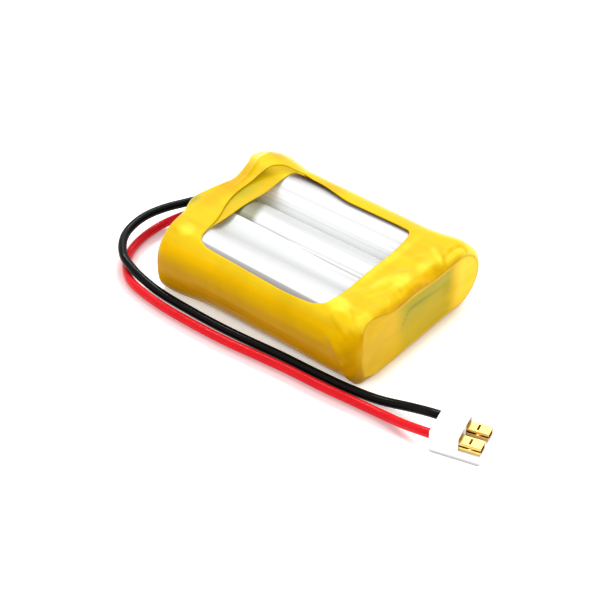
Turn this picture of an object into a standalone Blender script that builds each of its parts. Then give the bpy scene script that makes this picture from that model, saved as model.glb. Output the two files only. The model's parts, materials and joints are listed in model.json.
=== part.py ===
"""Three-cell shrink-wrapped battery pack with two flying leads and a two-way plug.

The pack lies flat on its bottom face.  Origin: centre of the wrap's bottom face.
+X runs along the cells, away from the leads; +Y runs across the row of cells; +Z is up.
Lengths in this file are millimetres, turned into metres by MM where a mesh is made.
"""
import math

import bmesh
import bpy
from mathutils import Matrix, Vector

MM = 0.001

# ---------------------------------------------------------------- driving dimensions
CELL_COUNT = 3
CELL_PITCH = 14.1            # centre to centre of neighbouring cells
STACK_HALF = 25.0            # from the middle of the pack to the inner face of a nickel strip
FILM_OUT = 7.6               # cell axis to the outside of the yellow wrap
FILM_THICK = 0.3
AXIS_Z = FILM_OUT            # the wrap's flat underside is at z = 0
ROW_HALF = CELL_PITCH * (CELL_COUNT - 1) / 2

CAN_RADIUS = 6.6
CAN_WALL = 0.25
CAN_FLOOR = 0.35
CAN_TOP = 48.4
BEAD_Z = 45.6                # middle of the rolled groove under the crimp
BEAD_DEPTH = 0.6
CAP_TOP = 49.4
CELL_SPAN = 50.0             # strip face to strip face along one cell
CELL_FOOT = 0.45             # gap from a strip to the bottom of a can
SLEEVE_OUT = 6.85
SLEEVE_IN = 6.72

STRIP_THICK = 0.2
STRIP_HALF_Z = 3.5
WRAP_HALF = 27.5             # half the length of the wrap
LIP_RADIUS = 5.4             # the curled rims leave an opening of this offset

WINDOW_RIGHT = 16.7
WINDOW_LEFT = -18.8
WINDOW_FRONT = -16.6
WINDOW_BACK = 15.2
WINDOW_CORNER = 3.0
TAPE_LEFT = -24.6
TAPE_RIGHT = -18.8
TAPE_IN = 7.0
TAPE_OUT = 7.12

SHEET_LEFT = -18.6           # silver sheet over the front cell and the groove behind it
SHEET_RIGHT = 22.5
SHEET_RADIUS = 7.05
SHEET_THICK = 0.12
# Where the sheet crosses the groove, as (y, z) on its upper face.
SHEET_GROOVE = [
    (-11.5, 14.08), (-10.3, 13.52), (-9.0, 13.14), (-7.5, 13.04), (-5.8, 13.22), (-4.6, 13.46), (-3.7, 13.68),
]

BOARD_IN_X = -25.7
BOARD_THICK = 0.6
BOARD_HALF_Y = 17.0
BOARD_LOW_Z = 2.4
BOARD_HIGH_Z = 12.8
PART_GAP = 0.15              # under the components on the board

LEAD_RADIUS = 1.0
INNER_WIRE_RADIUS = 0.5
VALLEY_WIRE_Z = 2.2

PLUG_PLACE = (48.46, -21.37)
PLUG_TURN = math.radians(15.0)
PLUG_LENGTH = 10.6
PLUG_BLOCK = 6.0             # length of the tall rear block
PLUG_HALF_WIDTH = 3.95
PLUG_HEIGHT = 5.8
TONGUE_HEIGHT = 2.45
CONTACT_PITCH = 4.5
CONTACT_WIDTH = 2.7
CONTACT_LOW = 2.5
CONTACT_HIGH = 4.2
CONTACT_WALL = 0.22
CONTACT_START = 2.5
CONTACT_END = 10.5
CHANNEL_IN = 0.7
CHANNEL_OUT = 3.65
CHANNEL_TOP = 5.2

ROUND = 20                   # sides of a round piece inside the cells
SLEEVE_SIDES = 28
ARC_SIDES = 14               # segments in each round flank of the wrap

# Centre lines of the free leads, from the board to the plug.
BLACK_ROUTE = [
    (-26.7, 6.6, 7.6), (-30.4, 6.4, 7.8), (-34.2, 4.9, 7.3), (-38.5, 0.1, 6.3), (-41.3, -4.3, 5.8),
    (-42.8, -9.0, 5.3), (-42.5, -13.9, 4.8), (-40.6, -17.8, 4.4), (-37.3, -20.8, 3.8),
    (-33.0, -22.2, 2.9), (-29.0, -22.6, 1.9), (-24.0, -22.9, 1.15), (-16.6, -23.2, 1.05),
    (-7.2, -23.3, 1.05), (1.4, -22.9, 1.05), (9.7, -22.3, 1.05), (18.1, -22.0, 1.05),
    (26.1, -21.5, 1.05), (33.5, -20.5, 1.25), (40.5, -19.3, 2.4), (45.6, -19.3, 3.9), (49.7, -18.6, 4.15),
]
RED_ROUTE = [
    (-26.7, 1.6, 7.6), (-30.2, 1.6, 7.4), (-34.0, 1.0, 6.0), (-37.3, -0.5, 4.0), (-40.3, -2.5, 2.1),
    (-41.8, -5.6, 1.15), (-41.7, -10.5, 1.05), (-40.5, -15.3, 1.05), (-38.2, -19.3, 1.05),
    (-34.2, -22.9, 1.05), (-29.6, -24.7, 1.05), (-21.2, -25.9, 1.05), (-11.4, -26.2, 1.05),
    (-2.4, -26.0, 1.05), (5.9, -25.3, 1.05), (13.9, -24.7, 1.05), (22.1, -24.4, 1.05),
    (30.0, -23.8, 1.05), (36.8, -23.5, 1.25), (42.4, -23.9, 2.2), (47.2, -24.1, 3.3), (50.95, -23.35, 3.4),
]


# ---------------------------------------------------------------- materials
def material(name, colour, roughness, metallic=0.0):
    made = bpy.data.materials.new(name)
    made.use_nodes = True
    shader = made.node_tree.nodes["Principled BSDF"]
    shader.inputs["Base Color"].default_value = (*colour, 1.0)
    shader.inputs["Roughness"].default_value = roughness
    shader.inputs["Metallic"].default_value = metallic
    return made


# ---------------------------------------------------------------- mesh helpers
def in_metres(points):
    return [Vector(point) * MM for point in points]


def mesh_object(name, bm, look, smooth_angle=35.0):
    """Turn a bmesh into a named object with outward faces and smooth round sides."""
    bmesh.ops.remove_doubles(bm, verts=bm.verts, dist=1e-6)
    bmesh.ops.recalc_face_normals(bm, faces=bm.faces)
    mesh = bpy.data.meshes.new(name)
    bm.to_mesh(mesh)
    bm.free()
    mesh.shade_smooth()
    mesh.set_sharp_from_angle(angle=math.radians(smooth_angle))
    mesh.materials.append(look)
    obj = bpy.data.objects.new(name, mesh)
    bpy.context.collection.objects.link(obj)
    return obj


def turned(name, profile, look, sides=ROUND):
    """Spin an (r, z) outline about Z; an outline that starts and ends at r = 0 is a solid disc."""
    bm = bmesh.new()
    verts = [bm.verts.new(point) for point in in_metres((r, 0.0, z) for r, z in profile)]
    pairs = list(zip(verts, verts[1:]))
    if profile[0][0] > 0.0:
        pairs.append((verts[-1], verts[0]))
    edges = [bm.edges.new(pair) for pair in pairs]
    bmesh.ops.spin(bm, geom=verts + edges, cent=(0, 0, 0), axis=(0, 0, 1), angle=2 * math.pi, steps=sides)
    return mesh_object(name, bm, look)


def prism(name, outline, direction, look, smooth_angle=35.0):
    """Extrude a closed flat outline of (x, y, z) points along a vector."""
    bm = bmesh.new()
    face = bm.faces.new([bm.verts.new(point) for point in in_metres(outline)])
    extruded = bmesh.ops.extrude_face_region(bm, geom=[face])
    moved = [item for item in extruded["geom"] if isinstance(item, bmesh.types.BMVert)]
    bmesh.ops.translate(bm, verts=moved, vec=Vector(direction) * MM)
    return mesh_object(name, bm, look, smooth_angle)


def box(name, low, high, look, bevel=0.0):
    """A block between two corners, with its edges rounded by a bevel."""
    bm = bmesh.new()
    low, high = Vector(low) * MM, Vector(high) * MM
    size = Matrix.Diagonal((*(high - low), 1.0))
    bmesh.ops.create_cube(bm, size=1.0, matrix=Matrix.Translation((low + high) / 2) @ size)
    if bevel:
        bmesh.ops.bevel(bm, geom=bm.edges, offset=bevel * MM, segments=1, affect="EDGES")
    return mesh_object(name, bm, look)


def rounded_rectangle(low, high, radius, steps=4):
    """Corner arcs of a rectangle in two dimensions, anticlockwise."""
    centres = [
        (high[0] - radius, high[1] - radius), (low[0] + radius, high[1] - radius),
        (low[0] + radius, low[1] + radius), (high[0] - radius, low[1] + radius),
    ]
    points = []
    for quarter, (centre_a, centre_b) in enumerate(centres):
        for step in range(steps + 1):
            angle = math.pi / 2 * (quarter + step / steps)
            points.append((centre_a + radius * math.cos(angle), centre_b + radius * math.sin(angle)))
    return points


def stadium(x, radius):
    """Outline round the row of cells at one station along X, at a given offset from the cell axes."""
    points = []
    for side in (1, -1):
        for step in range(ARC_SIDES + 1):
            angle = side * math.pi / 2 - math.pi * step / ARC_SIDES
            y = side * ROW_HALF + radius * math.cos(angle)
            points.append((x, y, AXIS_Z + radius * math.sin(angle)))
    return points


def end_sheet(name, x_low, x_high, radius, look):
    """A flat sheet with the outline of the whole row of cells."""
    return prism(name, stadium(x_low, radius), (x_high - x_low, 0, 0), look)


def sleeve_tube(name, stations, look):
    """A thin tube round the whole row: a closed ring of (x, offset) stations."""
    bm = bmesh.new()
    loops = [[bm.verts.new(point) for point in in_metres(stadium(x, radius))] for x, radius in stations]
    count = len(loops[0])
    for loop, following in zip(loops, loops[1:] + loops[:1]):
        for index in range(count):
            after = (index + 1) % count
            bm.faces.new((loop[index], loop[after], following[after], following[index]))
    return mesh_object(name, bm, look)


def cut(target, cutter):
    """Subtract a cutter, which stays in the file as a wire-frame guide."""
    cutter.hide_render = True
    cutter.display_type = "WIRE"
    modifier = target.modifiers.new("cut_" + cutter.name, "BOOLEAN")
    modifier.operation = "DIFFERENCE"
    modifier.solver = "EXACT"
    modifier.object = cutter


def smooth_route(points, step):
    """Points at an even spacing on a Catmull-Rom curve through a route."""
    ends = [2 * Vector(points[0]) - Vector(points[1])]
    ends += [Vector(point) for point in points]
    ends.append(2 * Vector(points[-1]) - Vector(points[-2]))
    fine = []
    for a, b, c, d in zip(ends, ends[1:], ends[2:], ends[3:]):
        for index in range(20):
            t = index / 20
            fine.append(0.5 * (2 * b + (c - a) * t + (2 * a - 5 * b + 4 * c - d) * t ** 2
                               + (3 * b - a - 3 * c + d) * t ** 3))
    fine.append(Vector(points[-1]))
    length = sum((q - p).length for p, q in zip(fine, fine[1:]))
    spacing = length / round(length / step)
    picked, travelled = [fine[0]], 0.0
    for p, q in zip(fine, fine[1:]):
        travelled += (q - p).length
        if travelled >= spacing * len(picked) and len(picked) * spacing < length - spacing / 2:
            picked.append(q)
    picked.append(fine[-1])
    return picked


def tube(name, points, radius, look):
    """A round wire: a poly curve with a bevel and closed ends."""
    curve = bpy.data.curves.new(name, "CURVE")
    curve.dimensions = "3D"
    curve.bevel_depth = radius * MM
    curve.bevel_resolution = 2
    curve.use_fill_caps = True
    spline = curve.splines.new("POLY")
    spline.points.add(len(points) - 1)
    for spline_point, point in zip(spline.points, points):
        spline_point.co = (*(Vector(point) * MM), 1.0)
    curve.materials.append(look)
    obj = bpy.data.objects.new(name, curve)
    bpy.context.collection.objects.link(obj)
    return obj


def empty(name, place, rotation):
    frame = bpy.data.objects.new(name, None)
    frame.location = Vector(place) * MM
    frame.rotation_euler = rotation
    bpy.context.collection.objects.link(frame)
    return frame


# ---------------------------------------------------------------- one cell
def can_profile():
    inner = CAN_RADIUS - CAN_WALL
    neck_out = CAN_RADIUS - BEAD_DEPTH
    return [
        (0, 0), (6.3, 0), (CAN_RADIUS, 0.3), (CAN_RADIUS, BEAD_Z - 0.6), (neck_out, BEAD_Z - 0.15),
        (neck_out, BEAD_Z + 0.15), (CAN_RADIUS, BEAD_Z + 0.6), (CAN_RADIUS, CAN_TOP - 0.3),
        (6.3, CAN_TOP), (5.3, CAN_TOP), (5.3, CAN_TOP - 0.3), (inner, CAN_TOP - 0.35),
        (inner, BEAD_Z + 0.8), (neck_out - CAN_WALL, BEAD_Z + 0.3), (neck_out - CAN_WALL, BEAD_Z - 0.3),
        (inner, BEAD_Z - 0.8), (inner, CAN_FLOOR), (0, CAN_FLOOR),
    ]


def ring(inner, outer, low, high):
    return [(inner, low), (outer, low), (outer, high), (inner, high)]


def build_cell(number, y, positive_side, looks):
    """Every piece of one cylindrical cell, stood on its own Z and then laid along X."""
    turn = (0, positive_side * math.pi / 2, 0)
    foot = -positive_side * (STACK_HALF - CELL_FOOT)
    frame = empty(f"cell_{number}_frame", (foot, y, AXIS_Z), turn)
    shapes = {
        "can": (can_profile(), "nickel_steel", ROUND),
        "lower_insulator": (ring(1.4, 6.1, 0.5, 0.7), "fish_paper", ROUND),
        "jelly_roll": (ring(1.4, 6.1, 0.9, 43.9), "electrode", ROUND),
        "upper_insulator": (ring(1.4, 6.1, 44.1, 44.4), "fish_paper", ROUND),
        "vent_disc": ([(0, 46.75), (2.4, 46.75), (2.8, 46.95), (5.75, 46.95), (5.75, 47.15), (2.7, 47.15),
                       (2.3, 46.95), (0, 46.95)], "aluminium", ROUND),
        "gasket": ([(5.2, 46.6), (6.15, 46.6), (6.15, 47.95), (5.4, 47.95), (5.4, 47.8), (5.95, 47.75),
                    (5.95, 46.8), (5.2, 46.8)], "gasket", ROUND),
        "positive_cap": ([(0, CAP_TOP), (2.9, CAP_TOP), (3.3, 47.62), (5.75, 47.62), (5.75, 47.32),
                          (3.0, 47.32), (2.6, CAP_TOP - 0.3), (0, CAP_TOP - 0.3)], "nickel_steel", ROUND),
        "cap_washer": (ring(3.7, 6.3, 48.55, 48.75), "fish_paper", ROUND),
        "sleeve": ([(5.6, -0.3), (6.6, -0.3), (SLEEVE_OUT, -0.05), (SLEEVE_OUT, 48.85), (6.6, 49.05),
                    (5.2, 49.05), (5.2, 48.92), (6.5, 48.92), (SLEEVE_IN, 48.75), (SLEEVE_IN, 0.02),
                    (6.5, -0.15), (5.6, -0.15)], "silver_sleeve", SLEEVE_SIDES),
    }
    for piece, (profile, look, sides) in shapes.items():
        made = turned(f"cell_{number}_{piece}", profile, looks[look], sides)
        made.parent = frame


# ---------------------------------------------------------------- pack hardware
def strip(name, side, y_low, y_high, look):
    """A nickel strip welded across cell ends; side is +1 or -1 along X."""
    inner = side * STACK_HALF
    outline = rounded_rectangle((y_low, AXIS_Z - STRIP_HALF_Z), (y_high, AXIS_Z + STRIP_HALF_Z), 1.0, 2)
    return prism(name, [(inner, y, z) for y, z in outline], (side * STRIP_THICK, 0, 0), look)


def build_strips(looks):
    nickel = looks["nickel_strip"]
    strip("link_1_2", 1, -CELL_PITCH - 3.5, 3.5, nickel)
    strip("link_2_3", -1, -3.5, CELL_PITCH + 3.5, nickel)
    strip("negative_tab", -1, -CELL_PITCH - 3.5, -CELL_PITCH + 5.0, nickel)
    strip("positive_tab", 1, CELL_PITCH - 7.6, CELL_PITCH + 3.5, nickel)


def build_inner_wires(looks):
    """Two thin wires run back to the board in the grooves under the cells."""
    for name, y, look in (("sense_wire", -CELL_PITCH / 2, "white_wire"), ("positive_wire", CELL_PITCH / 2, "red_wire")):
        route = [(24.6, y, 4.6), (22.5, y, 4.4), (19.0, y, 2.8), (15.0, y, VALLEY_WIRE_Z),
                 (-15.0, y, VALLEY_WIRE_Z), (-22.0, y, VALLEY_WIRE_Z), (-25.35, y, 2.9)]
        tube(name, route, INNER_WIRE_RADIUS, looks[look])


def build_end_pieces(looks):
    outline = rounded_rectangle((-13.0, 4.4), (13.0, 10.8), 1.5, 3)
    prism("end_pad", [(25.4, y, z) for y, z in outline], (0.8, 0, 0), looks["end_pad"])
    end_sheet("end_sheet", 26.4, 26.65, 6.4, looks["end_sheet"])
    outline = rounded_rectangle((-18.0, 3.7), (18.0, 12.2), 2.0, 3)
    prism("board_insulator", [(-25.35, y, z) for y, z in outline], (-0.15, 0, 0), looks["fish_paper"])


def build_board(looks):
    outline = rounded_rectangle((-BOARD_HALF_Y, BOARD_LOW_Z), (BOARD_HALF_Y, BOARD_HIGH_Z), 1.5, 3)
    prism("protection_board", [(BOARD_IN_X, y, z) for y, z in outline], (-BOARD_THICK, 0, 0), looks["board"])
    face = BOARD_IN_X - BOARD_THICK - PART_GAP
    parts = (
        ("mosfet_1", -14.0, 4.4, 5.0, 6.2, 0.7, "chip"),
        ("mosfet_2", -7.6, 4.4, 5.0, 6.2, 0.7, "chip"),
        ("protection_chip", -0.6, 9.8, 3.2, 2.4, 0.6, "chip"),
        ("sense_resistor", 10.0, 5.2, 3.2, 1.8, 0.5, "resistor"),
        ("filter_capacitor", 10.6, 9.0, 2.0, 1.3, 0.7, "capacitor"),
    )
    for name, y, z, size_y, size_z, height, look in parts:
        box(name, (face - height, y, z), (face, y + size_y, z + size_z), looks[look], 0.1)
    for name, route in (("solder_black", BLACK_ROUTE), ("solder_red", RED_ROUTE)):
        _, y, z = route[0]
        joint = turned(name, [(1.15, 0.0), (1.75, 0.0), (1.7, 0.12), (1.15, 0.6)], looks["solder"], 12)
        joint.rotation_euler = (0, -math.pi / 2, 0)
        joint.location = Vector((face, y, z)) * MM


def build_groove_sheet(look):
    """A silver sheet from the front of the first cell, across the groove, onto the second cell."""
    upper = []
    for step in range(9):
        angle = math.radians(-44.0 + step * 7.0)
        upper.append((-CELL_PITCH + SHEET_RADIUS * math.sin(angle), AXIS_Z + SHEET_RADIUS * math.cos(angle)))
    upper += SHEET_GROOVE
    lower = []
    for before, point, after in zip(upper[:1] + upper, upper, upper[1:] + upper[-1:]):
        along = Vector((after[0] - before[0], after[1] - before[1])).normalized()
        lower.append((point[0] + along.y * SHEET_THICK, point[1] - along.x * SHEET_THICK))
    outline = [(SHEET_LEFT, y, z) for y, z in upper + lower[::-1]]
    prism("groove_sheet", outline, (SHEET_RIGHT - SHEET_LEFT, 0, 0), look)


def build_wrap(looks):
    sleeve_tube("binding_tape", [(TAPE_LEFT, TAPE_OUT), (TAPE_RIGHT, TAPE_OUT),
                                 (TAPE_RIGHT, TAPE_IN), (TAPE_LEFT, TAPE_IN)], looks["yellow_tape"])
    rim = [(25.3, FILM_OUT), (26.4, 7.3), (27.15, 6.55), (WRAP_HALF, LIP_RADIUS)]
    rim_inside = [(WRAP_HALF - FILM_THICK, LIP_RADIUS), (26.9, 6.4), (26.25, 7.02),
                  (25.2, FILM_OUT - FILM_THICK)]
    right = rim + rim_inside
    left = [(-x, radius) for x, radius in reversed(right)]
    wrap = sleeve_tube("wrap_film", right + left, looks["yellow_film"])
    corners = rounded_rectangle((WINDOW_LEFT, WINDOW_FRONT), (WINDOW_RIGHT, WINDOW_BACK), WINDOW_CORNER)
    cutter = prism("window_cutter", [(x, y, AXIS_Z + 4.0) for x, y in corners], (0, 0, 8.0), looks["fish_paper"])
    cut(wrap, cutter)


# ---------------------------------------------------------------- plug
def build_plug(looks):
    frame = empty("plug_frame", (*PLUG_PLACE, 0.0), (0, 0, PLUG_TURN))
    side_view = [(0.5, 0.0), (PLUG_LENGTH - 0.3, 0.0), (PLUG_LENGTH, 0.3), (PLUG_LENGTH, TONGUE_HEIGHT),
                 (PLUG_BLOCK, TONGUE_HEIGHT), (PLUG_BLOCK, PLUG_HEIGHT), (0.5, PLUG_HEIGHT),
                 (0.0, PLUG_HEIGHT - 0.5), (0.0, 0.5)]
    outline = [(x, -PLUG_HALF_WIDTH, z) for x, z in side_view]
    housing = prism("connector_housing", outline, (0, 2 * PLUG_HALF_WIDTH, 0), looks["white_nylon"], 25.0)
    housing.parent = frame
    for side, colour in ((1, "black"), (-1, "red")):
        near, far = sorted((side * CHANNEL_IN, side * CHANNEL_OUT))
        channel = box("channel_cutter_" + colour, (-1.0, near, TONGUE_HEIGHT), (PLUG_LENGTH + 1.0, far, CHANNEL_TOP),
                      looks["white_nylon"])
        channel.parent = frame
        cut(housing, channel)
        build_contact(colour, side * CONTACT_PITCH / 2, frame, looks["gold"])


def build_contact(colour, y, frame, look):
    """A contact folded from sheet: a long box, open at both ends, with a seam down one side."""
    half = CONTACT_WIDTH / 2
    wall = CONTACT_WALL
    bend = 0.15
    seam_low = 3.3
    seam_high = 3.75
    section = [
        (-half, seam_low), (-half, CONTACT_LOW + bend), (-half + bend, CONTACT_LOW),
        (half - bend, CONTACT_LOW), (half, CONTACT_LOW + bend), (half, CONTACT_HIGH - bend),
        (half - bend, CONTACT_HIGH), (-half + bend, CONTACT_HIGH), (-half, CONTACT_HIGH - bend),
        (-half, seam_high), (-half + wall, seam_high), (-half + wall, CONTACT_HIGH - wall),
        (half - wall, CONTACT_HIGH - wall), (half - wall, CONTACT_LOW + wall),
        (-half + wall, CONTACT_LOW + wall), (-half + wall, seam_low),
    ]
    contact = prism("contact_" + colour, [(CONTACT_START, y + side, z) for side, z in section],
                    (CONTACT_END - CONTACT_START, 0, 0), look, 25.0)
    contact.parent = frame
    slot = box("slot_cutter_" + colour, (7.8, y - 0.85, CONTACT_HIGH - 0.6), (8.3, y + 0.85, CONTACT_HIGH + 1.0), look)
    slot.parent = frame
    cut(contact, slot)


# ---------------------------------------------------------------- build
def main():
    for old in list(bpy.data.objects):
        bpy.data.objects.remove(old)
    looks = {
        "nickel_steel": material("nickel_steel", (0.62, 0.62, 0.60), 0.30, 1.0),
        "nickel_strip": material("nickel_strip", (0.66, 0.64, 0.60), 0.32, 1.0),
        "aluminium": material("aluminium", (0.80, 0.80, 0.81), 0.35, 1.0),
        "electrode": material("electrode", (0.05, 0.05, 0.055), 0.75),
        "fish_paper": material("fish_paper", (0.42, 0.50, 0.36), 0.80),
        "gasket": material("gasket", (0.08, 0.16, 0.40), 0.50),
        "silver_sleeve": material("silver_sleeve", (0.86, 0.87, 0.88), 0.28, 0.9),
        "end_pad": material("end_pad", (0.36, 0.42, 0.20), 0.85),
        "end_sheet": material("end_sheet", (0.90, 0.62, 0.06), 0.35),
        "board": material("board", (0.02, 0.16, 0.07), 0.40),
        "chip": material("chip", (0.03, 0.03, 0.03), 0.45),
        "resistor": material("resistor", (0.04, 0.04, 0.05), 0.35),
        "capacitor": material("capacitor", (0.50, 0.36, 0.22), 0.50),
        "solder": material("solder", (0.70, 0.70, 0.70), 0.25, 1.0),
        "white_wire": material("white_wire", (0.80, 0.80, 0.78), 0.40),
        "red_wire": material("red_wire", (0.80, 0.02, 0.02), 0.35),
        "black_wire": material("black_wire", (0.01, 0.01, 0.012), 0.35),
        "yellow_tape": material("yellow_tape", (0.88, 0.66, 0.03), 0.35),
        "yellow_film": material("yellow_film", (1.00, 0.66, 0.01), 0.28),
        "white_nylon": material("white_nylon", (0.90, 0.90, 0.90), 0.45),
        "gold": material("gold", (0.92, 0.68, 0.25), 0.25, 1.0),
    }
    for index in range(CELL_COUNT):
        positive_side = 1 if index % 2 == 0 else -1
        build_cell(index + 1, index * CELL_PITCH - ROW_HALF, positive_side, looks)
    build_strips(looks)
    build_inner_wires(looks)
    build_end_pieces(looks)
    build_board(looks)
    build_groove_sheet(looks["silver_sleeve"])
    build_wrap(looks)
    build_plug(looks)
    lead_step = 4.0 * LEAD_RADIUS
    tube("lead_black", smooth_route(BLACK_ROUTE, lead_step), LEAD_RADIUS, looks["black_wire"])
    tube("lead_red", smooth_route(RED_ROUTE, lead_step), LEAD_RADIUS, looks["red_wire"])


main()
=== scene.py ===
"""Looks of a three-cell battery pack: a yellow shrink film with a window over silver cells,
two flying leads and a two-way plug.  Lengths here are millimetres, turned into metres by MM."""
import json
import math

import bmesh
import bpy
import numpy as np
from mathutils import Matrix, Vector


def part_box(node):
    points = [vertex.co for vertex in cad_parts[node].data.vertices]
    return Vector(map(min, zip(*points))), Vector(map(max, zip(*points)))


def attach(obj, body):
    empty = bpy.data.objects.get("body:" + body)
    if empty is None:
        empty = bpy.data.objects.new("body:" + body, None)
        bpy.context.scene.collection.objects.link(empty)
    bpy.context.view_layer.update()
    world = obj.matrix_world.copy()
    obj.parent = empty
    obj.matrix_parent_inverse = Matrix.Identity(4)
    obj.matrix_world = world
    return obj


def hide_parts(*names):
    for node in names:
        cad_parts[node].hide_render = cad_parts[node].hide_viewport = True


MM = 0.001
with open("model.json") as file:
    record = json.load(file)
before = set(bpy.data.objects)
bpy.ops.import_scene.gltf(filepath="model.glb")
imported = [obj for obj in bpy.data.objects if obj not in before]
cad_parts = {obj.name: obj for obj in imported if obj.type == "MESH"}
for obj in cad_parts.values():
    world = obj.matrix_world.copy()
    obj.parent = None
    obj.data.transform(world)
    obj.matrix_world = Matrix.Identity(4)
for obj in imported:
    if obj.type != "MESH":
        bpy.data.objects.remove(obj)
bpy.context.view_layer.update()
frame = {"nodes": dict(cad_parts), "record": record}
NODES = frame["nodes"]


# ================================================================ sizes taken from the frame
def cell_axis(number):
    """(y, z) of a cell's axis, from its sleeve."""
    low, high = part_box(f"cell_{number}_sleeve")
    return (low.y + high.y) / 2 / MM, (low.z + high.z) / 2 / MM


CELLS = (1, 2, 3)
ROW_HALF = (cell_axis(3)[0] - cell_axis(1)[0]) / 2
CELL_PITCH = ROW_HALF                  # three axes, so half the row is one pitch
AXIS_Z = cell_axis(2)[1]
SLEEVE_LOW, SLEEVE_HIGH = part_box("cell_2_sleeve")
SLEEVE_RADIUS = (SLEEVE_HIGH.z - SLEEVE_LOW.z) / 2 / MM
FILM_RADIUS = AXIS_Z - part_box("wrap_film")[0].z / MM
LEAD_DIAMETER = 2.0                    # the same as the frame's leads


# ================================================================ camera
def build_camera():
    camera = bpy.data.cameras.new("camera")
    camera.lens = 101.6
    camera.sensor_width = 36.0
    camera.shift_x = -0.0274
    camera.shift_y = -0.0602
    camera.clip_start = 0.01
    camera.clip_end = 10.0
    obj = bpy.data.objects.new("camera", camera)
    bpy.context.scene.collection.objects.link(obj)
    obj.location = Vector((185.54, -225.70, 228.78)) * MM
    obj.rotation_euler = (math.radians(52.8487), 0.0, math.radians(39.3155))
    bpy.context.scene.camera = obj


# ================================================================ node helpers
class Look:
    """A Principled material and short ways to wire procedural nodes into it."""

    def __init__(self, name, **values):
        self.material = bpy.data.materials.new("look_" + name)
        self.material.use_nodes = True
        self.tree = self.material.node_tree
        self.shader = self.tree.nodes["Principled BSDF"]
        self.place = self.node("ShaderNodeTexCoord").outputs["Object"]
        for key, value in values.items():
            self.set(key.replace("_", " ").title().replace("Ior", "IOR"), value)

    def set(self, name, value):
        socket = self.shader.inputs[name]
        socket.default_value = (*value, 1.0) if isinstance(value, tuple) else value

    def node(self, kind, **settings):
        made = self.tree.nodes.new(kind)
        for key, value in settings.items():
            setattr(made, key, value)
        return made

    def link(self, source, target):
        self.tree.links.new(source, target)

    def feed(self, socket, source):
        self.link(source, self.shader.inputs[socket])

    def scaled(self, scale):
        """Object coordinates in units of 1/scale metres."""
        made = self.node("ShaderNodeMapping")
        made.inputs["Scale"].default_value = scale if isinstance(scale, tuple) else (scale,) * 3
        self.link(self.place, made.inputs["Vector"])
        return made.outputs["Vector"]

    def noise(self, scale, detail=3.0):
        made = self.node("ShaderNodeTexNoise")
        made.inputs["Scale"].default_value = 1.0
        made.inputs["Detail"].default_value = detail
        self.link(self.scaled(scale), made.inputs["Vector"])
        return made.outputs["Fac"]

    def ramp(self, source, stops):
        """Map a value through (position, colour or grey) stops."""
        made = self.node("ShaderNodeValToRGB")
        ramp = made.color_ramp
        ramp.interpolation = "EASE"
        while len(ramp.elements) < len(stops):
            ramp.elements.new(0.5)
        for element, (position, colour) in zip(ramp.elements, stops):
            element.position = position
            element.color = (*colour, 1.0) if isinstance(colour, tuple) else (colour,) * 3 + (1.0,)
        self.link(source, made.inputs["Fac"])
        return made.outputs["Color"]

    def give(self, socket, value):
        """Put a number or a colour on a socket, or link another node's output to it."""
        if isinstance(value, tuple):
            socket.default_value = (*value, 1.0)
        elif isinstance(value, (int, float)):
            socket.default_value = value
        else:
            self.link(value, socket)

    def math(self, operation, *values, clamp=False):
        made = self.node("ShaderNodeMath", operation=operation, use_clamp=clamp)
        for socket, value in zip(made.inputs, values):
            self.give(socket, value)
        return made.outputs[0]

    def mix(self, factor, first, second, blend="MIX"):
        made = self.node("ShaderNodeMix", data_type="RGBA", blend_type=blend, clamp_factor=True)
        factor_socket, first_socket, second_socket = (made.inputs[index] for index in (0, 6, 7))
        self.give(factor_socket, factor)
        self.give(first_socket, first)
        self.give(second_socket, second)
        return made.outputs[2]

    def times(self, first, second):
        return self.mix(1.0, first, second, "MULTIPLY")

    def axes(self, source=None):
        made = self.node("ShaderNodeSeparateXYZ")
        self.link(source or self.place, made.inputs[0])
        return made.outputs

    def normal(self):
        return self.axes(self.node("ShaderNodeNewGeometry").outputs["Normal"])

    def attribute(self, name):
        return self.node("ShaderNodeAttribute", attribute_name=name).outputs["Fac"]

    def bump(self, height, distance, strength):
        made = self.node("ShaderNodeBump")
        made.inputs["Strength"].default_value = strength
        made.inputs["Distance"].default_value = distance
        self.link(height, made.inputs["Height"])
        self.feed("Normal", made.outputs["Normal"])


# ================================================================ mesh helpers
def place_mesh(name, points, faces, look, attributes):
    """A smooth mesh object from points in mm and named point values, riding on the pack."""
    mesh = bpy.data.meshes.new(name)
    mesh.from_pydata([tuple(p) for p in np.asarray(points, float) * MM], [], faces)
    mesh.validate()
    mesh.shade_smooth()
    for key, values in attributes.items():
        layer = mesh.attributes.new(key, "FLOAT", "POINT")
        layer.data.foreach_set("value", np.asarray(values, np.float32))
    mesh.materials.append(look)
    obj = bpy.data.objects.new(name, mesh)
    bpy.context.scene.collection.objects.link(obj)
    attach(obj, "root")
    return obj


def solidify(obj, thickness, offset=-1.0):
    modifier = obj.modifiers.new("thickness", "SOLIDIFY")
    modifier.thickness = thickness * MM
    modifier.offset = offset
    modifier.use_even_offset = False


def face_outward(obj, merge=None):
    """Point every face outward, after merging points that lie within a distance in metres."""
    bm = bmesh.new()
    bm.from_mesh(obj.data)
    if merge:
        bmesh.ops.remove_doubles(bm, verts=bm.verts, dist=merge)
    bmesh.ops.recalc_face_normals(bm, faces=bm.faces)
    bm.to_mesh(obj.data)
    bm.free()


def grid_faces(rows, columns, close_columns=False):
    """Quads over a grid of rows x columns points, optionally joined round."""
    faces = []
    for row in range(rows - 1):
        for column in range(columns if close_columns else columns - 1):
            after = (column + 1) % columns
            low, high = row * columns, (row + 1) * columns
            faces.append((low + column, low + after, high + after, high + column))
    return faces


def smoothstep(low, high, value):
    t = np.clip((np.asarray(value, float) - low) / (high - low), 0.0, 1.0)
    return t * t * (3.0 - 2.0 * t)


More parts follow.
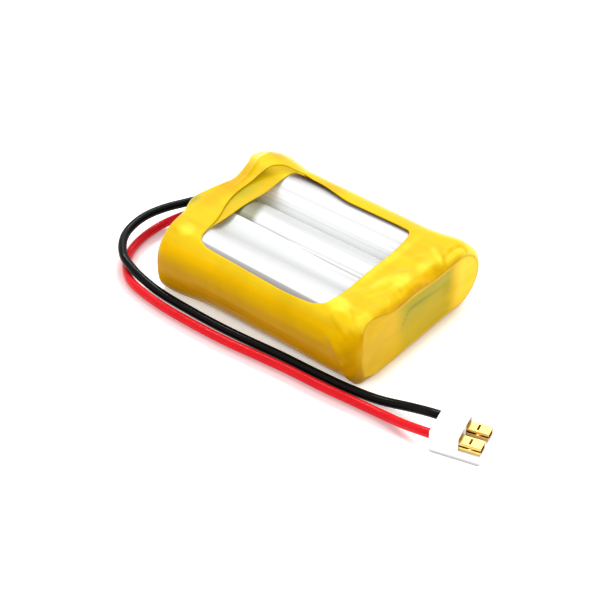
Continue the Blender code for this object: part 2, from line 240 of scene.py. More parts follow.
def spline_steps(points, count):
    """Points on the Catmull-Rom curve through all but a list's first and last, count to a span."""
    steps = []
    for a, b, c, d in zip(points, points[1:], points[2:], points[3:]):
        for index in range(count):
            t = index / count
            steps.append(0.5 * (2 * b + (c - a) * t + (2 * a - 5 * b + 4 * c - d) * t ** 2
                                + (3 * b - a - 3 * c + d) * t ** 3))
    return steps


def smooth_route(points, step):
    """Points at an even spacing on a smooth curve through a route, and the curve's length."""
    ends = [2 * Vector(points[0]) - Vector(points[1])]
    ends += [Vector(point) for point in points]
    ends.append(2 * Vector(points[-1]) - Vector(points[-2]))
    fine = spline_steps(ends, 20)
    fine.append(Vector(points[-1]))
    travelled = np.cumsum([0.0] + [(q - p).length for p, q in zip(fine, fine[1:])])
    count = round(travelled[-1] / step)
    wanted = np.linspace(0.0, travelled[-1], count + 1)
    axes = [np.interp(wanted, travelled, [p[axis] for p in fine]) for axis in range(3)]
    return np.stack(axes, 1), travelled[-1]


# ================================================================ the free leads
BLACK_ROUTE = [
    (-26.7, 6.6, 7.6), (-30.4, 6.4, 7.8), (-34.2, 4.9, 7.3), (-38.5, 0.1, 6.3), (-41.3, -4.3, 5.8),
    (-42.8, -9.0, 5.3), (-42.5, -13.9, 4.8), (-40.6, -17.8, 4.4), (-37.3, -20.8, 3.8),
    (-33.0, -22.2, 2.9), (-29.0, -22.6, 1.9), (-24.0, -22.9, 1.15), (-16.6, -23.2, 1.05),
    (-7.2, -23.3, 1.05), (1.4, -22.9, 1.05), (9.7, -22.3, 1.05), (18.1, -22.0, 1.05),
    (26.1, -21.5, 1.05), (33.5, -20.5, 1.25), (40.5, -19.3, 2.4), (45.6, -19.3, 3.9), (49.7, -18.6, 4.15),
]
RED_ROUTE = [
    (-26.7, 1.6, 7.6), (-30.2, 1.6, 7.4), (-34.0, 1.0, 6.0), (-37.3, -0.5, 4.0), (-40.3, -2.5, 2.1),
    (-41.8, -5.6, 1.15), (-41.7, -10.5, 1.05), (-40.5, -15.3, 1.05), (-38.2, -19.3, 1.05),
    (-34.2, -22.9, 1.05), (-29.6, -24.7, 1.05), (-21.2, -25.9, 1.05), (-11.4, -26.2, 1.05),
    (-2.4, -26.0, 1.05), (5.9, -25.3, 1.05), (13.9, -24.7, 1.05), (22.1, -24.4, 1.05),
    (30.0, -23.8, 1.05), (36.8, -23.5, 1.25), (42.4, -23.9, 2.2), (47.2, -24.1, 3.3), (50.95, -23.35, 3.4),
]


ROUTE_STEP = 0.8                       # spacing of a lead's points


def build_lead(colour, route, look):
    """A round silicone lead along its route, and its length in metres."""
    points, length = smooth_route(route, ROUTE_STEP)
    curve = bpy.data.curves.new("lead_" + colour, "CURVE")
    curve.dimensions = "3D"
    curve.bevel_depth = LEAD_DIAMETER / 2 * MM
    curve.bevel_resolution = 6
    curve.use_fill_caps = True
    spline = curve.splines.new("POLY")
    spline.points.add(len(points) - 1)
    for spline_point, point in zip(spline.points, points):
        spline_point.co = (*(point * MM), 1.0)
    curve.materials.append(look)
    obj = bpy.data.objects.new(colour + "_lead", curve)
    bpy.context.scene.collection.objects.link(obj)
    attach(obj, "root")
    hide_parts("lead_" + colour)
    return obj, length * MM


# ================================================================ the yellow film
FILM_THICK = 0.16
FILM_OUTSIDE = FILM_RADIUS - 0.08      # offset of the film's outside from the row of axes
FILM_STEP = 0.42                       # spacing of the film's grid
RIM_ROWS = 24                          # rows between the block and the lip at each end
WINDOW_RINGS = 12                      # rings between the block's edge and the window's edge
BLOCK_AROUND = (-21.5, 20.5)           # distance round covered by the block
HALF_TURN = math.pi * FILM_OUTSIDE
AROUND = 4 * ROW_HALF + 2 * HALF_TURN  # once round the pack
VALLEY_SAG = 0.3
BLOCK = (-25.6, 19.8)                  # length covered by the patch that holds the window

# The window's edge: (length, distance round from the middle of the top), anticlockwise.
WINDOW = [
    (-18.1, -15.7), (-16.2, -17.0), (-13.2, -17.4), (-7.4, -17.6), (-0.3, -17.9), (6.5, -18.1),
    (12.5, -17.8), (14.8, -17.2), (16.5, -15.9), (17.15, -13.7), (17.1, -11.0), (16.8, -4.8),
    (16.8, 0.8), (16.5, 6.2), (16.1, 10.5), (15.2, 13.6), (12.5, 14.2), (1.7, 14.2), (-2.8, 14.3),
    (-9.8, 15.6), (-15.3, 15.8), (-18.2, 15.4), (-20.6, 14.7), (-22.5, 12.8), (-23.4, 10.0),
    (-23.7, 5.8), (-23.2, 1.0), (-22.2, -3.2), (-20.8, -6.8), (-19.6, -10.5), (-18.9, -13.4),
]

# Ends of the film: (distance round, furthest reach, curl radius, offset of the lip).
RIGHT_RIM = [
    (-51.8, 27.8, 0.7, 6.9), (-37.7, 27.8, 0.8, 6.9), (-34.0, 27.7, 1.2, 5.8), (-31.0, 27.5, 2.4, 4.7),
    (-28.0, 27.3, 3.8, 3.9), (-25.9, 27.3, 4.2, 3.6), (-23.0, 27.3, 4.2, 4.0), (-20.0, 27.3, 3.8, 4.9),
    (-17.5, 27.3, 3.0, 6.2), (-14.1, 27.3, 2.4, 6.6), (-10.6, 27.3, 2.2, 6.2), (-7.0, 27.3, 2.2, 5.5),
    (-3.0, 27.3, 2.2, 5.2), (2.0, 27.4, 2.2, 5.2), (7.0, 27.6, 2.2, 5.6), (11.0, 27.9, 2.0, 5.6),
    (14.1, 28.2, 1.6, 6.0), (20.0, 28.5, 1.2, 6.2), (25.9, 28.6, 1.0, 6.4), (31.8, 28.4, 0.8, 6.6),
    (37.7, 27.9, 0.7, 6.9), (51.8, 27.8, 0.7, 6.9),
]
LEFT_RIM = [
    (-51.8, 27.6, 0.8, 6.2), (-37.7, 27.6, 1.0, 6.0), (-31.8, 27.5, 2.0, 4.8), (-25.9, 27.4, 2.4, 4.4),
    (-20.0, 27.4, 2.2, 5.0), (-16.5, 27.2, 1.6, 6.0), (-13.5, 27.3, 1.1, 6.5), (-10.0, 28.1, 0.9, 6.8),
    (-8.0, 29.1, 0.8, 6.9), (-5.5, 29.8, 0.7, 6.9), (-2.5, 29.3, 0.8, 6.9), (1.0, 28.6, 0.8, 6.9),
    (5.0, 28.1, 0.8, 6.9), (9.0, 28.6, 0.8, 6.9), (12.0, 29.4, 0.8, 6.9), (14.5, 30.5, 0.8, 6.9),
    (17.0, 30.6, 0.8, 6.9), (19.0, 29.8, 0.9, 6.8), (22.0, 28.2, 1.2, 6.2), (26.0, 27.8, 1.4, 5.8),
    (31.8, 27.7, 1.2, 5.8), (37.7, 27.6, 1.0, 6.0), (51.8, 27.6, 0.8, 6.2),
]

# How far the film stands off the back cell, along its length.
BACK_LIFT = [
    (-32.0, 0.3), (-30.5, 0.5), (-28.4, 1.15), (-26.1, 1.95), (-23.4, 1.95), (-20.5, 1.45), (-17.5, 0.95),
    (-14.0, 0.85), (-4.5, 0.70), (1.0, 0.62), (6.0, 0.55), (10.0, 0.5), (13.0, 0.45), (16.0, 0.45),
    (18.0, 0.55), (20.2, 0.75), (22.4, 1.0), (24.7, 1.15), (27.4, 0.7), (29.0, 0.4),
]

# Soft swellings and hollows: (length, distance round, size along, size round, height).
FILM_BUMPS = [
    (-27.5, -6.0, 4.0, 9.0, 0.7),      # the left end stands up at its free edge
    (-26.0, 6.0, 3.0, 6.0, 0.25),
    (22.0, 9.0, 3.0, 3.0, 0.25),
    (20.5, -32.5, 9.0, 3.0, 0.6),      # the underside of the front flank flares outward
    (0.0, -32.0, 18.0, 3.2, 0.55),
    (-23.5, -32.0, 9.0, 3.6, 1.5),
]

# Ridges and creases along a line: (length, round) to (length, round), half width, height.
FILM_RIDGES = [
    (17.6, -14.6, 21.6, -5.0, 1.1, 0.28),
    (21.0, -7.0, 22.8, 1.5, 1.2, 0.38),
    (22.9, 2.4, 25.6, 0.6, 0.35, 0.22),
    (25.9, -3.6, 25.8, 1.6, 0.40, -0.24),
    (24.2, 4.6, 26.4, 4.2, 0.35, -0.22),
    (18.5, 6.0, 23.5, 11.5, 0.8, 0.16),
    (19.0, -17.5, 24.5, -20.5, 0.5, 0.18),
    (21.5, -15.0, 26.0, -19.0, 0.4, -0.18),
    (23.0, -11.0, 26.4, -15.6, 0.5, 0.18),
    (24.6, -9.5, 26.6, -3.0, 0.9, -0.18),
    (24.2, -7.6, 26.4, -9.6, 0.26, 0.18),
    (24.4, -6.0, 26.8, -7.4, 0.26, 0.22),
    (24.5, -4.4, 27.0, -5.2, 0.26, 0.24),
    (24.6, -2.8, 27.0, -3.2, 0.26, 0.22),
    (24.6, -1.2, 27.0, -1.2, 0.26, 0.16),
    (25.6, 1.6, 27.6, 6.8, 0.8, -0.26),
    (23.4, 7.0, 25.8, 8.4, 1.2, 0.22),
    (22.6, 12.4, 27.8, 10.0, 0.35, 0.34),
    (27.4, 9.2, 26.1, 11.4, 0.28, -0.20),      # the outline of a pressed oval at the back corner
    (26.1, 11.4, 25.8, 14.0, 0.28, -0.20),
    (25.8, 14.0, 26.5, 16.2, 0.28, -0.20),
    (26.5, 16.2, 28.0, 16.8, 0.28, -0.20),
    (21.5, -22.6, 25.2, -26.5, 0.8, 0.25),
    (25.0, -27.5, 26.4, -34.5, 0.7, 0.42),
    (27.2, -19.5, 28.2, -29.0, 1.1, -0.45),
    (25.5, -33.8, 28.0, -33.8, 1.0, 0.5),
    (-27.0, 16.6, -25.4, 6.0, 0.7, 0.20),
    (-28.6, 15.8, -26.4, 19.0, 0.5, -0.22),
    (-28.9, -4.4, -27.4, -10.6, 0.35, -0.16),
    (-28.1, -3.0, -26.6, -9.6, 0.35, 0.14),
    (-28.4, -8.0, -26.0, -20.5, 0.30, 0.16),
    (-27.4, -9.0, -25.0, -21.5, 0.30, -0.14),
    (-26.6, 14.0, -25.0, 2.0, 0.35, 0.14),
    (-27.8, 9.0, -26.4, -4.0, 0.35, -0.12),
    (-15.0, -25.4, 10.0, -26.2, 0.6, 0.05),
    (-22.0, -28.8, 4.0, -28.6, 0.5, -0.07),
]

# Painted highlights (+) and painted shade (-) on the film:
# (length, distance round, size along, size round, amount).
FILM_PAINTED_LIGHT = [
    (24.0, -0.6, 1.5, 2.6, 0.75), (21.6, -4.6, 1.3, 3.6, 0.45), (18.6, -14.8, 2.6, 1.6, 0.8),
    (24.6, 7.0, 1.3, 2.4, 0.40), (17.6, 4.0, 0.9, 9.0, 0.35), (22.0, 18.5, 5.0, 1.6, 0.3),
    (-29.9, 16.2, 1.0, 1.5, 1.0), (-22.5, -15.5, 1.6, 1.6, 0.6), (26.0, -16.0, 1.4, 2.4, 0.45),
    (26.4, 6.0, 0.9, 3.0, -0.6), (26.6, 1.0, 0.8, 3.4, -0.5), (26.9, -9.0, 0.6, 3.0, -0.45),
    (28.5, 20.5, 1.3, 5.0, 0.9), (28.0, -23.5, 1.3, 5.0, -0.9),
    (-26.8, 18.0, 1.6, 2.4, -0.35), (-27.4, 6.0, 1.2, 5.5, -0.45), (23.0, 2.6, 1.0, 2.0, -0.2),
    (-27.0, -29.0, 3.0, 3.0, -0.5), (0.0, -30.5, 26.0, 2.0, -0.3), (-25.7, 1.0, 1.8, 9.0, -0.80),
    (-9.0, 16.4, 3.5, 1.5, -0.6), (-27.8, 14.6, 1.3, 1.6, 0.9), (-24.2, 16.6, 1.6, 1.8, -0.6),
]

# Thin painted highlight (+) and painted shade (-) lines along the film's folds: (length, round) to
# (length, round), half width, amount.
FILM_PAINTED_FOLD_LINES = [
    (22.8, 11.8, 27.0, 9.6, 0.50, 0.60),       # a painted highlight on a fold that runs up to the pressed oval
    (23.2, 13.6, 26.4, 11.0, 0.35, -0.45),
    (27.4, 9.2, 26.1, 11.4, 0.24, -0.75),      # painted shade along the oval's outline
    (26.1, 11.4, 25.8, 14.0, 0.24, -0.75),
    (25.8, 14.0, 26.5, 16.2, 0.24, -0.75),
    (26.5, 16.2, 28.0, 16.8, 0.24, -0.75),
    (27.0, 11.4, 27.4, 15.2, 0.60, 0.45),
]


def curve_through(rows, column):
    """A smooth function through (position, value ...) rows."""
    stations = np.array([row[0] for row in rows], float)
    values = np.array([row[column] for row in rows], float)
    slopes = np.gradient(values, stations)

    def at(position):
        place = np.clip(position, stations[0], stations[-1])
        cell = np.clip(np.searchsorted(stations, place) - 1, 0, len(stations) - 2)
        span = stations[cell + 1] - stations[cell]
        t = (place - stations[cell]) / span
        rise = values[cell] * (1 + 2 * t) * (1 - t) ** 2 + values[cell + 1] * t * t * (3 - 2 * t)
        lean = slopes[cell] * t * (1 - t) ** 2 - slopes[cell + 1] * t * t * (1 - t)
        return rise + lean * span

    return at


FOLDS_FROM = 18.0                      # length beyond which an end may curl down
RIM_CURVES = {end: [curve_through(rows, column) for column in (1, 2, 3)]
              for end, rows in ((1, RIGHT_RIM), (-1, LEFT_RIM))}
BACK_LIFT_AT = curve_through(BACK_LIFT, 1)


def round_steps(count):
    """Evenly spaced distances once round the pack."""
    return -AROUND / 2 + AROUND * np.arange(count) / count


def round_the_row(around):
    """Base line y, outward (y, z) and flank angle, at a distance round the row of cells."""
    side, distance = np.sign(around), np.abs(around)
    flank = np.clip((distance - ROW_HALF) / FILM_OUTSIDE, 0.0, math.pi)
    beneath = np.clip(distance - ROW_HALF - HALF_TURN, 0.0, None)
    base = np.minimum(distance, ROW_HALF) - beneath
    return side * base, side * np.sin(flank), np.cos(flank), flank


def near_line(x, around, start_l, start_a, stop_l, stop_a, width):
    """1 on a line of the film, falling to 0 on both sides of it and past its ends."""
    along = np.array([stop_l - start_l, stop_a - start_a])
    length = np.hypot(*along)
    along = along / length
    run = (x - start_l) * along[0] + (around - start_a) * along[1]
    side = (x - start_l) * along[1] - (around - start_a) * along[0]
    past = np.maximum(np.maximum(-run, run - length), 0.0)
    return np.exp(-(side / width) ** 2 - (past / (1.5 * width)) ** 2)


def film_lift(x, around):
    """How far the film stands above its taut shape, in mm."""
    settled = smoothstep(-19.0, -13.0, x)      # the edge hugs the back cell except near the leads
    back = smoothstep(5.0 + 7.5 * settled, 15.0 + 4.0 * settled, around)
    lift = BACK_LIFT_AT(x) * back * (1 - smoothstep(21.0, 32.0, around))
    for centre_l, centre_a, size_l, size_a, height in FILM_BUMPS:
        spread = ((x - centre_l) / size_l) ** 2 + ((around - centre_a) / size_a) ** 2
        lift = lift + height * np.exp(-spread)
    for *line, height in FILM_RIDGES:
        lift = lift + height * near_line(x, around, *line)
    return lift


def film_points(length, around, to_lip=False):
    """Film surface in mm.  With to_lip, a length of 1 beyond the block's end falls on the lip."""
    y, out_y, out_z, flank = round_the_row(around)
    x = np.array(length, float)
    drop = np.zeros_like(x)
    for end, start in ((1, BLOCK[1]), (-1, -BLOCK[0])):
        past = x * end > FOLDS_FROM
        tip, curl, lip = (at(around) for at in RIM_CURVES[end])
        straight = tip - curl
        fold_angle = np.arccos(np.clip(1 - (FILM_OUTSIDE - lip) / curl, 0.0, 1.0))
        total = straight + curl * fold_angle + np.clip(FILM_OUTSIDE - curl - lip, 0.0, None)
        run = np.abs(x)
        if to_lip:
            beyond = (run > start) & past
            run = np.where(beyond, start + (run - start) * (total - start), run)
        angle = np.clip((run - straight) / curl, 0.0, math.pi / 2)
        folded = np.minimum(run, straight) + curl * np.sin(angle)
        down = curl * (1 - np.cos(angle)) + np.clip(run - straight - curl * math.pi / 2, 0.0, None)
        x = np.where(past, end * folded, x)
        drop = np.where(past, down, drop)
    flat = np.cos(flank) > 0.999
    valley = np.sin(math.pi * y / CELL_PITCH) ** 2 * flat
    sag = VALLEY_SAG * valley * (1 + 0.8 * smoothstep(17.0, 26.0, x))
    offset = FILM_OUTSIDE - drop - sag + film_lift(x, around) * np.clip(1 - drop / 5.0, 0.0, 1.0)
    height = np.maximum(AXIS_Z + out_z * offset, AXIS_Z - FILM_OUTSIDE)
    return np.stack([x, y + out_y * offset, height], -1)


def film_painted_light(points, around):
    """Painted highlights (+) and painted shade (-) on the film, for its material."""
    painted_light = np.zeros(len(points))
    for centre_l, centre_a, size_l, size_a, amount in FILM_PAINTED_LIGHT:
        distance = ((points[:, 0] - centre_l) / size_l) ** 2 + ((around - centre_a) / size_a) ** 2
        painted_light += amount * np.exp(-(0.8 * distance) ** 2)
    for *line, amount in FILM_PAINTED_FOLD_LINES:
        painted_light += amount * near_line(points[:, 0], around, *line)
    return painted_light


def match_outline(outline, rim):
    """Points of a closed outline in the same directions from the middle as the points of rim."""
    closed = [*outline[-1:], *outline, *outline[:2]]
    fine = np.array(spline_steps([np.array(point, float) for point in closed], 24))
    centre = (rim.min(0) + rim.max(0)) / 2
    half = (rim.max(0) - rim.min(0)) / 2

    def direction(points):
        """Angle of each point from the rim's centre, in a frame that makes the rim square."""
        across, up = ((points - centre) / half).T
        return np.mod(np.arctan2(up, across), 2 * math.pi)

    angles = direction(fine)
    order = np.argsort(angles)
    keys, values = angles[order], fine[order]
    keys = np.concatenate([[keys[-1] - 2 * math.pi], keys, [keys[0] + 2 * math.pi]])
    values = np.concatenate([values[-1:], values, values[:1]])
    target = direction(rim)
    return np.stack([np.interp(target, keys, values[:, axis]) for axis in range(2)], 1)


def build_film(look):
    """The shrink film: a grid round the pack, less a block, and rings from the block to the window."""
    lengths = np.linspace(*BLOCK, round((BLOCK[1] - BLOCK[0]) / FILM_STEP) + 1)
    rim_steps = np.linspace(0.0, 1.0, RIM_ROWS + 1)[1:]
    lengths = np.concatenate([BLOCK[0] - rim_steps[::-1], lengths, BLOCK[1] + rim_steps])
    count = 2 * round(AROUND / FILM_STEP / 2)
    rounds = round_steps(count)
    grid_l, grid_a = np.meshgrid(lengths, rounds, indexing="ij")
    points = film_points(grid_l, grid_a, to_lip=True).reshape(-1, 3)
    first, last = RIM_ROWS, len(lengths) - 1 - RIM_ROWS
    low, high = (int(np.argmin(np.abs(rounds - edge))) for edge in BLOCK_AROUND)

    def index(i, j):
        return i * count + j % count

    faces = []
    for i in range(len(lengths) - 1):
        for j in range(count):
            if first <= i < last and low <= j < high:
                continue
            faces.append((index(i, j), index(i + 1, j), index(i + 1, j + 1), index(i, j + 1)))
    border = [(i, low) for i in range(first, last)] + [(last, j) for j in range(low, high)]
    border += [(i, high) for i in range(last, first, -1)] + [(first, j) for j in range(high, low, -1)]
    outer = np.array([(lengths[i], rounds[j]) for i, j in border])
    inner = match_outline(WINDOW, outer)
    loops = [[index(i, j) for i, j in border]]
    ring_points, ring_rounds = [points], [grid_a.ravel()]
    for ring in range(WINDOW_RINGS):
        share = (ring + 1) / WINDOW_RINGS
        length, distance = (outer * (1 - share) + inner * share).T
        start = len(points) + ring * len(border)
        ring_points.append(film_points(length, distance))
        ring_rounds.append(distance)
        loops.append(list(range(start, start + len(border))))
    for loop, following in zip(loops, loops[1:]):
        for k in range(len(loop)):
            after = (k + 1) % len(loop)
            faces.append((loop[k], loop[after], following[after], following[k]))
    points = np.concatenate(ring_points)
    around = np.concatenate(ring_rounds)
    # Painted olive shade where the film lies over the hollow at the left end.
    painted_olive_shade = 0.9 * np.exp(-((points[:, 0] + 28.6) / 1.5) ** 2 - ((around + 6.8) / 2.2) ** 2)
    obj = place_mesh("film", points, faces, look, {"painted_light": film_painted_light(points, around), "painted_olive_shade": painted_olive_shade})
    face_outward(obj)
    solidify(obj, FILM_THICK)
    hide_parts("wrap_film")


# ================================================================ cells, tape and end cover
SLEEVE_TURN = 0.9                      # radius of the sleeve's shoulder at each end
SLEEVE_LIP = (2.0, 1.6, 1.2)           # how far the lip's rings lie inside the sleeve's radius
SLEEVE_ROWS = 58                       # rings along the straight part
SEAM_AT = {1: 200.0, 2: 30.0, 3: 170.0}    # degrees from the top toward the front
SEAM_STEP = 0.09                       # height of the overlap at the seam
SEAM_FADE = 0.5                        # radians over which it dies away
SHEET_THICK = 0.1
TAPE_THICK = 0.06

# The silver sheet's crossing of the front groove: (y, z) on its upper face.
SHEET_GROOVE = [
    (-12.5, 14.44), (-11.5, 14.08), (-10.3, 13.52), (-9.0, 13.14), (-7.5, 13.04), (-5.8, 13.22),
    (-4.6, 13.40), (-3.7, 13.56),
]


def sheet_wander(x):
    """How far the free edge of the silver sheet strays toward the front."""
    return 0.10 * np.sin(x / 5.0) + 0.022 * x


def build_sleeve(number, look):
    """One cell's silver sleeve, drawn in over both ends of the can."""
    low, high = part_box(f"cell_{number}_sleeve")
    start, stop = low.x / MM, high.x / MM
    y, z = cell_axis(number)
    ends = np.linspace(0.0, math.pi / 2, 9)
    shoulder = SLEEVE_TURN * (1 - np.cos(ends))
    drawn_in = SLEEVE_TURN * (1 - np.sin(ends))
    straight = np.linspace(start + SLEEVE_TURN, stop - SLEEVE_TURN, SLEEVE_ROWS + 2)[1:-1]
    x = np.concatenate([[start + 0.02] * 3, start + shoulder, straight,
                        stop - shoulder[::-1], [stop - 0.02] * 3])
    fall = np.concatenate([SLEEVE_LIP, drawn_in, np.zeros(SLEEVE_ROWS),
                           drawn_in[::-1], SLEEVE_LIP[::-1]])
    sides = 480 if number == 2 else 240        # the middle one carries finer marks
    angle = 2 * math.pi * np.arange(sides) / sides
    past_seam = np.mod(angle - math.radians(SEAM_AT[number]), 2 * math.pi)
    step = SEAM_STEP * np.exp(-past_seam / SEAM_FADE)
    radius = SLEEVE_RADIUS - 0.05 - fall[:, None] + step[None, :] * (fall[:, None] < 0.3)
    points = np.stack([np.broadcast_to(x[:, None], radius.shape),
                       y - radius * np.sin(angle)[None, :], z + radius * np.cos(angle)[None, :]], -1)
    faces = grid_faces(len(x), sides, close_columns=True)
    points = points.reshape(-1, 3)
    dark = np.zeros(len(points))
    frontward = np.degrees(np.where(angle > math.pi, 0.0, angle))
    # Painted light: the side facing the front gets a paler colour to offset its shade.
    painted_front_light = np.tile(smoothstep(15.0, 45.0, frontward), len(x))
    px, py, pz = points.T
    if number == 2:        # a painted shadow beside the tape, and painted shade along the sheet's free edge
        across = np.clip((py + 3.6) / 9.2, 0.0, 1.0)
        reach = 1.1 + 3.4 * (1 - across ** 1.5)
        dark += smoothstep(1.1, -0.9, px + 19.1 - reach) * smoothstep(1.0, 0.9, across)
        from_edge = py - SHEET_GROOVE[-1][0] + sheet_wander(px)
        dark += 0.34 * np.exp(-((from_edge - 0.20) / 0.24) ** 2)
    marks = {"dark": np.clip(dark, 0.0, 1.0) * (pz > AXIS_Z), "painted_front_light": painted_front_light}
    obj = place_mesh(f"sleeve_{number}", points, faces, look, marks)
    solidify(obj, SHEET_THICK, offset=1.0)
    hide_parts(f"cell_{number}_sleeve")


def build_groove_sheet(look):
    """A silver sheet over the front cell and the groove behind it, its free edge on the second cell."""
    low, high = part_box("groove_sheet")
    axis_y = cell_axis(1)[0]
    radius = high.z / MM - AXIS_Z - 0.03
    angles = np.radians(np.linspace(-43.0, 12.0, 40))
    over_cell = np.stack([axis_y + radius * np.sin(angles), AXIS_Z + radius * np.cos(angles)], 1)
    across = np.linspace(SHEET_GROOVE[0][0] + 0.15, SHEET_GROOVE[-1][0], 50)
    groove = np.stack([across, curve_through(SHEET_GROOVE, 1)(across)], 1)
    section = np.concatenate([over_cell, groove])
    lengths = np.linspace(low.x / MM - 2.2, high.x / MM - 0.1, 60)     # it starts under the tape
    grid_x, py = np.meshgrid(lengths, section[:, 0], indexing="ij")
    pz = np.broadcast_to(section[:, 1], grid_x.shape)
    wander = sheet_wander(grid_x)
    py = py - wander * smoothstep(-9.0, -4.0, py)
    pz = pz - 0.68 * (wander * smoothstep(-6.0, -4.0, py))     # the free edge follows the cell's curve
    points = np.stack([grid_x, py, pz], -1).reshape(-1, 3)
    px, py, pz = points.T
    # Painted shade over the groove, less toward the free edge.
    painted_groove_shade = smoothstep(-11.6, -8.6, py) * (1 - 0.55 * smoothstep(-5.6, -3.9, py))
    # Painted shadow of the film's front edge along the sheet.
    strip = smoothstep(-0.30, 0.10, -16.1 - 0.017 * (px + 16.5) - py)
    faces = grid_faces(len(lengths), len(section))
    obj = place_mesh("groove_foil", points, faces, look, {"painted_groove_shade": painted_groove_shade, "strip": strip})
    solidify(obj, SHEET_THICK)
    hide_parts("groove_sheet")


def build_tape(look):
    """The band of yellow tape that holds the three cells together under the film."""
    low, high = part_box("binding_tape")
    start, stop = low.x / MM, high.x / MM
    radius = AXIS_Z - low.z / MM + 0.06
    rows = np.linspace(start, stop, 14)
    count = 220
    rounds = round_steps(count)
    grid_x, grid_a = np.meshgrid(rows, rounds, indexing="ij")
    y, out_y, out_z, flank = round_the_row(grid_a)
    wave = 0.35 * np.cos(grid_a / 9.0) + 0.25 * np.sin(grid_a / 4.0 + 1.0)
    bow = wave - 0.85 * np.exp(-(grid_a / 12.0) ** 2)
    x = grid_x + bow * (grid_x - start) / (stop - start)
    valley = np.sin(math.pi * y / CELL_PITCH) ** 2 * (np.cos(flank) ** 2 > 0.999)
    offset = radius - 0.35 * valley
    points = np.stack([x, y + out_y * offset, AXIS_Z + out_z * offset], -1).reshape(-1, 3)
    # Painted olive shade where the tape dips into the groove under the lifted film.
    painted_olive_shade = np.exp(-((x + 22.6) / 1.6) ** 2 - ((grid_a - 3.0) / 5.5) ** 2)
    # Painted glow, strongest where the film stands off the tape and shades it.
    painted_glow = smoothstep(11.0, 15.0, grid_a)
    faces = grid_faces(len(rows), count, close_columns=True)
    marks = {"painted_olive_shade": painted_olive_shade.ravel(), "painted_glow": painted_glow.ravel()}
    obj = place_mesh("tape_band", points, faces, look, marks)
    solidify(obj, TAPE_THICK)
    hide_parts("binding_tape")


def build_end_cover(look):
    """The film drawn over the right ends of the cells: it runs on from the lip of the wrap."""
    count = 2 * round(AROUND / 0.5 / 2)
    rounds = round_steps(count)
    tucked = [film_points(np.full(count, BLOCK[1] + share), rounds, to_lip=True)
              for share in (0.90, 0.95, 1.0)]
    y = round_the_row(rounds)[0]
    lip = tucked[-1]
    base = np.stack([np.zeros(count), y, np.full(count, AXIS_Z)], -1)
    rows = []
    for ring, inward, forward in zip(tucked, (0.25, 0.10, 0.0), (-0.12, -0.02, 0.05)):
        rows.append(ring - (ring - base) * [0.0, 1.0, 1.0] * (inward / 6.0) + [forward, 0.0, 0.0])
    middle_x = 27.3 + 0.9 * smoothstep(9.0, 15.0, y)
    for share in np.linspace(0.0, 1.0, 37)[1:]:
        ring = lip * (1 - share) + base * share
        ease = smoothstep(0.0, 0.7, share)
        ring[:, 0] = rows[2][:, 0] * (1 - ease) + middle_x * ease
        rows.append(ring)
    points = np.concatenate(rows)
    _, py, pz = points.T
    depth = np.tile(np.linalg.norm(lip - base, axis=1), len(rows))
    inset = depth * np.repeat(np.clip(np.linspace(-0.06, 1.0, len(rows)), 0.0, 1.0), count)
    fade = smoothstep(0.3, 2.6, inset)         # nothing shows through close to the lip
    stroke = 10.0 - 0.09 * np.maximum(py + 1.5, 0.0) - 0.45 * np.minimum(py + 1.5, 0.0) ** 2
    smear = np.exp(-((pz - stroke) / 0.42) ** 2) * smoothstep(-4.8, -3.9, py) * smoothstep(12.5, 1.0, py)
    green = smoothstep(-8.0, -2.5, py) * smoothstep(14.5, 10.5, py)
    green = green * (0.55 + 0.45 * smoothstep(4.0, 11.0, pz))
    # Painted highlight along the rim near the bottom, and painted light on the back part.
    rim = np.exp(-((inset - 0.60) / 0.35) ** 2) * smoothstep(5.0, 3.0, pz)
    pale = smoothstep(11.0, 16.0, py) * fade + 0.8 * rim
    # Painted shade close to the lip, away from the back.
    painted_light = -0.35 * (1 - fade) * smoothstep(11.0, 5.0, py)
    marks = {"green": green * fade, "smear": smear, "pale": pale, "painted_light": painted_light}
    faces = grid_faces(len(rows), count, close_columns=True)
    obj = place_mesh("end_cover", points, faces, look, marks)
    face_outward(obj, merge=0.00002)
    solidify(obj, SHEET_THICK)
    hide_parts("end_sheet")


# ================================================================ plug
def build_housing(look):
    """The plug's white housing: the frame's solid with its moulded edges rounded."""
    source = NODES["connector_housing"]
    obj = bpy.data.objects.new("plug_housing", source.data.copy())
    bpy.context.scene.collection.objects.link(obj)
    obj.data.materials.clear()
    obj.data.materials.append(look)
    bm = bmesh.new()
    bm.from_mesh(obj.data)
    bmesh.ops.remove_doubles(bm, verts=bm.verts, dist=0.000001)
    bmesh.ops.dissolve_limit(bm, angle_limit=math.radians(1.0), verts=bm.verts, edges=bm.edges)
    bm.to_mesh(obj.data)
    bm.free()
    obj.data.shade_smooth()
    edges = obj.modifiers.new("edges", "BEVEL")
    edges.width = 0.28 * MM
    edges.segments = 3
    edges.limit_method = "ANGLE"
    edges.angle_limit = math.radians(35.0)
    edges.harden_normals = True
    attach(obj, "root")
    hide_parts("connector_housing")
    return obj


# ================================================================ materials
FILM_TINT = (1.0, 0.78, 0.04)
FINE_GRAIN = 900.0                     # per metre
GRAIN_DEPTH = 0.00002                  # metres
TONE_SPREAD = 0.04                     # how far a plain finish strays from its colour


